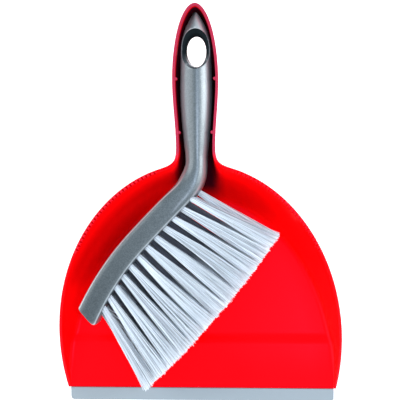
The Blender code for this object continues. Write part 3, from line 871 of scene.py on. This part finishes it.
def tuft_frame(tuft):
    """Unit vectors of a tuft: down its length, in the brush's plane, and across the rows."""
    down = (tuft.tip - tuft.root).normalized()
    along = down.cross(Vector((0.0, 0.0, 1.0))).normalized()
    return down, along, along.cross(down)


def tuft_hole_tools():
    tools = []
    for tuft in all_tufts():
        down, along, across = tuft_frame(tuft)
        tool = tool_cylinder("tuft_hole_tool", TUFT_HOLE_SIDES, TUFT_HOLE_RADIUS, TUFT_HOLE_RADIUS,
                             -TUFT_HOLE_DEPTH, TUFT_HOLE_OVERRUN)
        turn = Matrix((along, across, down)).transposed().to_4x4()
        tool.data.transform(Matrix.Translation(tuft.root * MM) @ turn)
        tools.append(tool)
    tool = joined("tuft_hole_tools", tools)
    edit_all(tool, face_outwards)
    return tool


def make_brush(material):
    points, pale, painted_shade = brush_points()
    # The pale mark holds painted highlights and the shade mark painted shade
    brush = closed_grid("brush_handle", points, pale=pale, shade=painted_shade)
    apply_tool(brush, hanging_hole_tool(), "DIFFERENCE")
    apply_tool(brush, tuft_hole_tools(), "DIFFERENCE")
    shades, lights = zip(*[hole_marks(vertex.co) for vertex in brush.data.vertices])
    mark_more(brush, "shade", shades)
    mark_more(brush, "pale", lights)
    brush.data.transform(rest_matrix())
    shade(brush, 35)
    finish_piece(brush, material, BRUSH, "brush_body")


# ---- bristles


def strand_template():
    """One filament along +Z, a slim four-sided rod with a ring of corners at each level."""
    bpy.ops.mesh.primitive_circle_add(vertices=4, radius=1.0, fill_type="NGON")
    strand = active_piece("strand")
    bpy.ops.object.mode_set(mode="EDIT")
    bpy.ops.mesh.select_all(action="SELECT")
    for low, high in zip(STRAND_LEVELS, STRAND_LEVELS[1:]):
        bpy.ops.mesh.extrude_region_move(TRANSFORM_OT_translate={"value": (0.0, 0.0, high - low)})
    bpy.ops.mesh.select_all(action="SELECT")
    face_outwards()
    bpy.ops.object.mode_set(mode="OBJECT")
    corners = np.array([v.co[:] for v in strand.data.vertices])
    faces = np.array([p.vertices[:] for p in strand.data.polygons])
    bpy.data.objects.remove(strand)
    return corners, faces


def spiral_disc(count):
    """Points spread evenly over a unit disc."""
    golden = math.pi * (3 - math.sqrt(5))
    return [
        Vector((math.cos(i * golden), math.sin(i * golden))) * math.sqrt((i + 0.5) / count)
        for i in range(count)
    ]


def to_square(p):
    """Stretches a point of the unit disc into the square round it."""
    longest = max(abs(p.x), abs(p.y), 1e-6)
    return p * (p.length / longest)


def tuft_strands(first, stray, strands, chance):
    """Start offset, end offset, length change, sideways bow and tone of each filament of a tuft.

    The ends gather into clumps of slightly different lengths, as trimmed filaments do.
    """
    clumps = [(to_square(p), chance.gauss(0, 0.55)) for p in spiral_disc(TUFT_CLUMPS)]
    for i, p in enumerate(spiral_disc(strands)):
        square = to_square(p)
        clump, longer = min(clumps, key=lambda c: (c[0] - square).length)
        end = square.lerp(clump, chance.uniform(0.15, 0.55))
        end += Vector((chance.gauss(0, 0.06), chance.gauss(0, 0.06)))
        end.x, end.y = min(max(end.x, -1.06), 1.06), min(max(end.y, -1.06), 1.06)
        longer += chance.gauss(0, 0.35) - (chance.random() < 0.06) * chance.uniform(0.5, 3.0)
        if first:
            longer -= 4.5 * max(end.x - 0.5, 0.0) ** 2 / 0.25
        bow = Vector((chance.gauss(0, 0.4), chance.gauss(0, 0.3)))
        if stray and i % (strands // 3) == 0:
            bow.x, longer = chance.uniform(*STRAY_BOW), -chance.uniform(*STRAY_SHORT)
        tone = chance.uniform(0.66, 1.0) * (0.5 if chance.random() < 0.18 else 1.0)
        yield p, end, longer, bow, tone


def make_tuft(tuft, template, look, material):
    """A bundle of separate filaments: round in its hole, then fanning to its cell of the trim."""
    corners, template_faces = template
    first, last, inner = tuft.index == 0, tuft.index == tuft.count - 1, tuft.row == "middle"
    chance = random.Random(f"{tuft.row} {tuft.index}")
    down, along, across = tuft_frame(tuft)
    trim = tuft.cell.normalized() * math.copysign(1.0, along.dot(tuft.cell))
    rise = Vector((0.0, 0.0, math.copysign(1.0, across.z)))
    half_along, half_rise = tuft.cell.length / 2, ROW_SPACING * ROW_SPREAD / 2
    length = (tuft.tip - tuft.root).length
    reach = -TUFT_ROOT_DEPTH + corners[:, 2] * (length + TUFT_ROOT_DEPTH)
    share = np.clip(reach / length, 0.0, 1.0)
    fan = share**TUFT_FAN_POWER
    bulge = np.sin(share * math.pi)
    radius = look.filament_diameter / MM / 2 * (1.0 - 0.25 * share)
    tuft_bow = Vector((chance.gauss(0, 0.7), chance.gauss(0, 0.3)))
    # Painted shade: the inner row, but for its end tufts, is darkened near its roots, where the outer rows
    # shade it
    root_shade_tone = np.clip((share - INNER_ROW_SHADE_FADE[0]) / INNER_ROW_SHADE_FADE[1], 0.0, 1.0)
    base = look.inner_row_shaded_tone if inner and not first and not last else 1.0
    root_shade_tone = base + (1.0 - base) * root_shade_tone * root_shade_tone * (3.0 - 2.0 * root_shade_tone)
    points, tones = [], []
    stray = last and not inner
    for start, end, longer, bow, tone in tuft_strands(first, stray, look.strands_per_tuft, chance):
        at_root = (along * start.x + across * start.y) * (TUFT_ROOT_RADIUS - 0.15)
        at_tip = trim * end.x * half_along + rise * end.y * half_rise
        bow = bow + tuft_bow
        centre = (
            np.outer(1 - fan, at_root) + np.outer(fan, at_tip)
            + np.outer(bulge, along * bow.x + across * bow.y)
            + np.array(tuft.root) + np.outer(reach + longer * share, down)
        )
        ring = np.outer(corners[:, 0] * radius, along) + np.outer(corners[:, 1] * radius, across)
        points.append(centre + ring)
        tones.append(root_shade_tone * tone)
    faces = np.concatenate([template_faces + i * len(corners) for i in range(len(points))])
    label = f"{tuft.row}_{tuft.index + 1:02d}"
    mesh = bpy.data.meshes.new(f"filaments_{label}")
    mesh.from_pydata(np.concatenate(points) * MM, [], faces.tolist())
    mesh.attributes.new("tone", "FLOAT", "POINT").data.foreach_set("value", np.concatenate(tones))
    mesh.transform(rest_matrix())
    mesh.shade_smooth()
    piece = bpy.data.objects.new(mesh.name, mesh)
    bpy.context.scene.collection.objects.link(piece)
    finish_piece(piece, material, BRUSH, f"tuft_{label}")


def make_bristles(look, material):
    template = strand_template()
    for tuft in all_tufts():
        make_tuft(tuft, template, look, material)


# ---- finishes


def set_inputs(node, values):
    for key, value in values.items():
        node.inputs[key].default_value = value


def add_node(tree, kind, values=None, **settings):
    node = tree.nodes.new(kind)
    for key, value in settings.items():
        setattr(node, key, value)
    set_inputs(node, values or {})
    return node


def wire(tree, *links):
    """Joins sockets. Each link names its source node and output, then its target and input."""
    for source, output, target, socket in links:
        tree.links.new(source.outputs[output], target.inputs[socket])


def shader_group(name, inputs, outputs):
    """A group with its input and output nodes, from its sockets' names and kinds."""
    group = bpy.data.node_groups.new(name, "ShaderNodeTree")
    for in_out, sockets in (("INPUT", inputs), ("OUTPUT", outputs)):
        for label, kind in sockets.items():
            group.interface.new_socket(label, in_out=in_out, socket_type=f"NodeSocket{kind}")
    return group, add_node(group, "NodeGroupInput"), add_node(group, "NodeGroupOutput")


def moulded_surface_group():
    """Fine texture of a moulded surface: its colour drift, roughness and height."""
    group, given, result = shader_group(
        "moulded_surface",
        {"Colour": "Color", "Drift": "Float", "Roughness": "Float", "Roughness spread": "Float",
         "Grain size": "Float"},
        {"Colour": "Color", "Roughness": "Float", "Height": "Float"},
    )
    place_at = add_node(group, "ShaderNodeTexCoord")
    broad = add_node(group, "ShaderNodeTexNoise", {"Scale": 22.0, "Detail": 3.0, "Roughness": 0.55})
    grain = add_node(group, "ShaderNodeTexNoise", {"Detail": 2.0, "Roughness": 0.6})
    lift = add_node(group, "ShaderNodeMath", {1: 0.5}, operation="SUBTRACT")
    factor = add_node(group, "ShaderNodeMath", {2: 1.0}, operation="MULTIPLY_ADD")
    tint = add_node(group, "ShaderNodeVectorMath", operation="SCALE")
    spread = add_node(group, "ShaderNodeMath", operation="MULTIPLY_ADD")
    wire(
        group,
        (place_at, "Object", broad, "Vector"),
        (place_at, "Object", grain, "Vector"),
        (given, "Grain size", grain, "Scale"),
        (broad, "Fac", lift, 0),
        (lift, "Value", factor, 0),
        (given, "Drift", factor, 1),
        (given, "Colour", tint, 0),
        (factor, "Value", tint, "Scale"),
        (tint, "Vector", result, "Colour"),
        (lift, "Value", spread, 0),
        (given, "Roughness spread", spread, 1),
        (given, "Roughness", spread, 2),
        (spread, "Value", result, "Roughness"),
        (grain, "Fac", result, "Height"),
    )
    return group


def pearl_flake_group():
    """Fine metal flakes in a dark plastic: a mottled colour and a sparkling height."""
    group, given, result = shader_group(
        "pearl_flake",
        {"Dark": "Color", "Light": "Color", "Flake size": "Float"},
        {"Colour": "Color", "Height": "Float"},
    )
    place_at = add_node(group, "ShaderNodeTexCoord")
    flakes = add_node(group, "ShaderNodeTexVoronoi", {"Randomness": 1.0})
    mottle = add_node(group, "ShaderNodeTexNoise", {"Scale": 650.0, "Detail": 3.0, "Roughness": 0.7})
    shine = add_node(group, "ShaderNodeSeparateColor")
    blend = add_node(group, "ShaderNodeMix", {"Factor": 0.5}, data_type="FLOAT")
    colour = add_node(group, "ShaderNodeMix", data_type="RGBA")
    wire(
        group,
        (place_at, "Object", flakes, "Vector"),
        (place_at, "Object", mottle, "Vector"),
        (given, "Flake size", flakes, "Scale"),
        (flakes, "Color", shine, "Color"),
        (shine, "Red", blend, 2),
        (mottle, "Fac", blend, 3),
        (blend, 0, colour, "Factor"),
        (given, "Dark", colour, 6),
        (given, "Light", colour, 7),
        (colour, 2, result, "Colour"),
        (blend, 0, result, "Height"),
    )
    return group


def new_material(name):
    material = bpy.data.materials.new(name)
    material.use_nodes = True
    return material, material.node_tree, material.node_tree.nodes["Principled BSDF"]


def bump_from(tree, source, shader, strength, distance):
    bump = add_node(tree, "ShaderNodeBump", {"Strength": strength, "Distance": distance})
    wire(tree, (source, "Height", bump, "Height"), (bump, "Normal", shader, "Normal"))


def moulded_material(name, colour, roughness, grain, bump):
    """A material with its tree, shader and surface nodes, so that its finish can be taken further."""
    group = bpy.data.node_groups.get("moulded_surface") or moulded_surface_group()
    material, tree, shader = new_material(name)
    surface = add_node(tree, "ShaderNodeGroup", node_tree=group, values={
        "Colour": (*colour, 1.0), "Drift": 0.06,
        "Roughness": roughness, "Roughness spread": 0.1, "Grain size": grain,
    })
    wire(tree, (surface, "Colour", shader, "Base Color"), (surface, "Roughness", shader, "Roughness"))
    bump_from(tree, surface, shader, strength=bump, distance=0.0001)
    return material, tree, shader, surface


def marked_colour(tree, source, shader, pale, shaded):
    """Mixes the finish's colour towards the pale colour of painted highlights and the shaded colour of
    painted shade, where the mesh is marked.
    """
    colour, output = source, "Colour"
    for name, target in (("pale", pale), ("shade", shaded)):
        amount = add_node(tree, "ShaderNodeAttribute", attribute_name=name)
        mixed = add_node(tree, "ShaderNodeMix", {7: (*target, 1.0)}, data_type="RGBA")
        wire(tree, (amount, "Fac", mixed, "Factor"), (colour, output, mixed, 6))
        colour, output = mixed, 2
    wire(tree, (colour, output, shader, "Base Color"))
    faded(tree, amount, shader, {"Specular IOR Level": (0.5, 0.0)})
    return amount


def faded(tree, amount, shader, levels):
    """Takes the shader's inputs from a first to a second level as the marked amount rises."""
    for socket, (clear, marked) in levels.items():
        level = add_node(tree, "ShaderNodeMapRange", {"To Min": clear, "To Max": marked})
        wire(tree, (amount, "Fac", level, "Value"), (level, "Result", shader, socket))


def pan_material(look):
    """Glossy moulded plastic with painted shade, deep and without reflection, where the mesh marks it, and a
    painted highlight on the handle's rim and the comb's teeth.
    """
    material, tree, shader, surface = moulded_material(
        "moulded_red", look.colour, roughness=0.33, grain=2600.0, bump=0.1
    )
    marked_colour(tree, surface, shader, look.pale, look.shaded)
    set_inputs(shader, {"Specular Tint": (*look.sheen, 1.0)})
    return material


def lip_material(look):
    return moulded_material("soft_lip", look.colour, roughness=0.55, grain=3500.0, bump=0.25)[0]


def pearl_material(look):
    """Dark plastic full of fine metal flakes, with painted highlights on its edges and painted shade on its
    faces and inside the hole.
    """
    material, tree, shader = new_material("pearl_slate")
    flakes = add_node(tree, "ShaderNodeGroup", node_tree=pearl_flake_group(), values={
        "Dark": (*look.dark_flake, 1.0), "Light": (*look.light_flake, 1.0), "Flake size": 1500.0,
    })
    depth = marked_colour(tree, flakes, shader, look.edge, look.shaded)
    bump_from(tree, flakes, shader, strength=0.1, distance=0.0002)
    faded(tree, depth, shader,
          {"Metallic": (0.55, 0.0), "Coat Weight": (0.5, 0.0), "Roughness": (0.4, 1.0)})
    set_inputs(shader, {"Coat Roughness": 0.25})
    return material


def filament_material(look):
    """Pale filaments whose tone varies from one to the next, with painted shade near the inner row's roots.
    """
    material, tree, shader = new_material("filament")
    tone = add_node(tree, "ShaderNodeAttribute", attribute_name="tone")
    ends = {6: (*look.shaded, 1.0), 7: (*look.pale, 1.0)}
    colour = add_node(tree, "ShaderNodeMix", ends, data_type="RGBA")
    wire(tree, (tone, "Fac", colour, "Factor"), (colour, 2, shader, "Base Color"))
    set_inputs(shader, {"Roughness": 0.42})
    return material


# ---- stage


def aim(piece, at, target):
    """Puts a light or camera at a point, looking at another, with +Y towards the top."""
    back = (at - target).normalized()
    right = Vector((0.0, 1.0, 0.0)).cross(back).normalized()
    turn = Matrix((right, back.cross(right), back)).transposed().to_4x4()
    piece.matrix_world = Matrix.Translation(at) @ turn


def soft_light(name, at, target, size, watts, colour=(1.0, 1.0, 1.0)):
    data = bpy.data.lights.new(name, "AREA")
    data.shape = "RECTANGLE"
    data.size, data.size_y = size
    data.energy = watts
    data.color = colour
    light = bpy.data.objects.new(name, data)
    bpy.context.scene.collection.objects.link(light)
    aim(light, Vector(at), Vector(target))


def make_stage(stage):
    """Sets the floor, the even light, four soft lights and the camera over the pan."""
    bpy.ops.mesh.primitive_plane_add(size=12.0, location=(0.0, 0.0, -0.0004))
    floor = active_piece("studio_floor")
    floor.data.transform(floor.matrix_world)
    floor.matrix_world = Matrix.Identity(4)
    material, _, shader = new_material("studio_floor")
    set_inputs(shader, {
        "Base Color": (*stage.floor_colour, 1.0), "Roughness": 0.9, "Specular IOR Level": 0.1,
        "Emission Color": (1.0, 1.0, 1.0, 1.0), "Emission Strength": stage.floor_glow,
    })
    floor.data.materials.append(material)
    floor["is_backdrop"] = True

    world = bpy.data.worlds.new("studio")
    world.use_nodes = True
    background = world.node_tree.nodes["Background"]
    set_inputs(background, {"Color": (0.93, 0.96, 1.0, 1.0), "Strength": stage.ambient})
    scene = bpy.context.scene
    scene.world = world
    scene.view_settings.view_transform = "Standard"
    scene.view_settings.look = "None"

    middle, cool = (0.0, 0.0, 0.03), (0.72, 0.82, 1.0)
    soft_light("key", (0.80, 0.15, 0.55), middle, (0.45, 0.35), stage.key_power)
    soft_light("fill", (-0.8, 0.05, 0.6), middle, (0.9, 0.9), stage.fill_power)
    soft_light("front", (0.1, -0.95, 0.45), middle, (1.0, 0.5), stage.front_power)
    soft_light("sheen", (0.30, -0.10, 0.95), (0.09, -0.06, 0.0), (0.12, 0.3), stage.sheen_power, cool)

    data = bpy.data.cameras.new("camera")
    camera = bpy.data.objects.new("camera", data)
    scene.collection.objects.link(camera)
    scene.camera = camera
    target = Vector((*stage.view_centre, 0.0))
    back = Vector((math.tan(stage.view_right), -math.tan(stage.view_low), 1.0)).normalized()
    aim(camera, target + back * stage.view_distance, target)
    data.sensor_width = 36.0
    data.lens = data.sensor_width * stage.view_distance / stage.view_width
    data.clip_start, data.clip_end = 0.05, 20.0


# ---- the add-on


def colour_property(name, description, default):
    return bpy.props.FloatVectorProperty(
        name=name, description=description, default=default, subtype="COLOR", min=0.0, max=1.0
    )


def number_property(name, description, default, **more):
    return bpy.props.FloatProperty(name=name, description=description, default=default, **more)


def length_property(name, description, default):
    return number_property(name, description, default, min=0.0, unit="LENGTH", precision=5)


def power_property(name, description, default):
    return number_property(name, description, default, min=0.0, unit="POWER")


def angle_property(name, description, degrees):
    return number_property(name, description, math.radians(degrees), subtype="ANGLE")


class PanLook(bpy.types.PropertyGroup):
    wall: length_property("Wall", "Thickness of the pan's walls and floor", 0.0023)
    colour: colour_property("Plastic", "Colour of the moulded pan", (0.93, 0.0004, 0.0009))
    # The pale rim colour is a painted highlight on the handle's rim, the nub tops and the comb's teeth
    pale: colour_property("Pale rim", "Colour of the handle's rim and the comb's teeth", (0.27, 0.02, 0.045))
    shaded: colour_property("Shaded plastic", "Colour deep in the trough", (0.035, 0.0012, 0.006))
    sheen: colour_property("Sheen", "Tint of the plastic's reflections", (1.0, 0.055, 0.16))


class LipLook(bpy.types.PropertyGroup):
    edge_top: length_property("Front edge", "Height of the lip's front edge", 0.0012)
    corner: length_property("Corner", "Radius of the lip's front corners in plan", 0.003)
    colour: colour_property("Rubber", "Colour of the soft lip", (0.172, 0.212, 0.24))


class BrushLook(bpy.types.PropertyGroup):
    dark_flake: colour_property("Dark flake", "Darker colour of the plastic", (0.038, 0.053, 0.062))
    light_flake: colour_property("Light flake", "Lighter colour of the plastic", (0.115, 0.147, 0.165))
    # The edge colour is a painted highlight on the head's edges, the handle's sides, the nose and the hole's
    # rim
    edge: colour_property("Edge", "Colour of the worn edges", (0.55, 0.62, 0.66))
    # The shaded colour is painted shade inside the hanging hole and on the handle's and head's faces
    shaded: colour_property("Shaded plastic", "Colour inside the hanging hole", (0.008, 0.012, 0.014))


class BristleLook(bpy.types.PropertyGroup):
    strands_per_tuft: bpy.props.IntProperty(
        name="Filaments", description="Filaments in each tuft", default=120, min=10, max=200
    )
    filament_diameter: length_property("Filament", "Diameter of one filament at its root", 0.00042)
    # The inner row's tone near its roots is painted shade between the outer rows
    inner_row_shaded_tone: number_property("Inner row", "How pale the inner row is beside the outer rows", 0.1)
    # The dark filament colour serves both the filaments' own varied tone and the inner row's painted shade
    shaded: colour_property("Dark filament", "Colour of the darkest filaments", (0.035, 0.04, 0.065))
    pale: colour_property("Pale filament", "Colour of the palest filaments", (0.70, 0.785, 0.855))


class StageLook(bpy.types.PropertyGroup):
    floor_colour: colour_property("Floor", "Colour of the studio floor", (0.93, 0.93, 0.93))
    floor_glow: number_property("Floor glow", "Light that the floor gives off, as a light table does", 0.25)
    ambient: number_property("Ambient", "Strength of the even light", 0.82)
    key_power: power_property("Key light", "Power of the light from the upper right", 6.2)
    fill_power: power_property("Fill light", "Power of the light from the left", 11.5)
    front_power: power_property("Front light", "Power of the light from the front", 7.0)
    sheen_power: power_property("Sheen light", "Power of the cool light over the pan's right", 4.2)
    view_right: angle_property("View from the right", "How far the camera looks from the right", 4.5)
    view_low: angle_property("View from the front", "How far the camera looks from the front", 4.0)
    view_distance: length_property("View distance", "From the camera to the middle of the pan", 0.95)
    view_width: length_property("View width", "Width of the ground that the camera takes in", 0.3432)
    view_centre: bpy.props.FloatVectorProperty(
        name="View centre", description="Point on the ground at the middle of the view",
        default=(-0.0012, 0.0080), size=2, unit="LENGTH",
    )


class DUSTPAN_OT_pan(bpy.types.Operator):
    """Models the moulded pan: bowl, comb, trough handle, nubs and hanging hole"""

    bl_idname = "dustpan.pan"
    bl_label = "Pan"

    def execute(self, context):
        look = context.scene.dustpan_pan
        make_pan(look.wall, pan_material(look))
        return {"FINISHED"}


class DUSTPAN_OT_lip(bpy.types.Operator):
    """Models the soft lip along the pan's front edge"""

    bl_idname = "dustpan.lip"
    bl_label = "Lip"

    def execute(self, context):
        look = context.scene.dustpan_lip
        make_lip(look.edge_top, look.corner, lip_material(look))
        return {"FINISHED"}


class DUSTPAN_OT_brush(bpy.types.Operator):
    """Models the brush's handle and head with its hanging hole and tuft holes"""

    bl_idname = "dustpan.brush"
    bl_label = "Brush"

    def execute(self, context):
        make_brush(pearl_material(context.scene.dustpan_brush))
        return {"FINISHED"}


class DUSTPAN_OT_bristles(bpy.types.Operator):
    """Models every tuft as separate filaments that fan out to the trimmed edge"""

    bl_idname = "dustpan.bristles"
    bl_label = "Bristles"

    def execute(self, context):
        look = context.scene.dustpan_bristles
        make_bristles(look, filament_material(look))
        return {"FINISHED"}


class DUSTPAN_OT_stage(bpy.types.Operator):
    """Sets the pale floor, the soft studio lights and the camera"""

    bl_idname = "dustpan.stage"
    bl_label = "Stage"

    def execute(self, context):
        make_stage(context.scene.dustpan_stage)
        return {"FINISHED"}


class DUSTPAN_PT_panel(bpy.types.Panel):
    """Lists the set's looks and the pieces that can be made"""

    bl_idname = "DUSTPAN_PT_panel"
    bl_label = "Dust pan and brush"
    bl_space_type = "VIEW_3D"
    bl_region_type = "UI"
    bl_category = "Dust pan"

    def draw(self, context):
        for group, operator in SECTIONS:
            box = self.layout.box()
            look = getattr(context.scene, group)
            for name in look.bl_rna.properties.keys():
                if name not in ("rna_type", "name"):
                    box.prop(look, name)
            box.operator(operator)


LOOKS = {
    "dustpan_stage": StageLook,
    "dustpan_pan": PanLook,
    "dustpan_lip": LipLook,
    "dustpan_brush": BrushLook,
    "dustpan_bristles": BristleLook,
}
OPERATORS = (DUSTPAN_OT_stage, DUSTPAN_OT_pan, DUSTPAN_OT_lip, DUSTPAN_OT_brush, DUSTPAN_OT_bristles)
SECTIONS = tuple(zip(LOOKS, (operator.bl_idname for operator in OPERATORS)))
CLASSES = (*LOOKS.values(), *OPERATORS, DUSTPAN_PT_panel)


def register():
    for each in CLASSES:
        bpy.utils.register_class(each)
    for name, group in LOOKS.items():
        setattr(bpy.types.Scene, name, bpy.props.PointerProperty(type=group))


def unregister():
    for name in LOOKS:
        delattr(bpy.types.Scene, name)
    for each in reversed(CLASSES):
        bpy.utils.unregister_class(each)


def main():
    register()
    bpy.ops.dustpan.stage()
    bpy.ops.dustpan.pan()
    bpy.ops.dustpan.lip()
    bpy.ops.dustpan.brush()
    bpy.ops.dustpan.bristles()
    boxes = {"design": DESIGN_BOX, "visual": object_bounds()}
    {name: [list(corner) for corner in box] for name, box in boxes.items()}


if __name__ == "__main__":
    main()
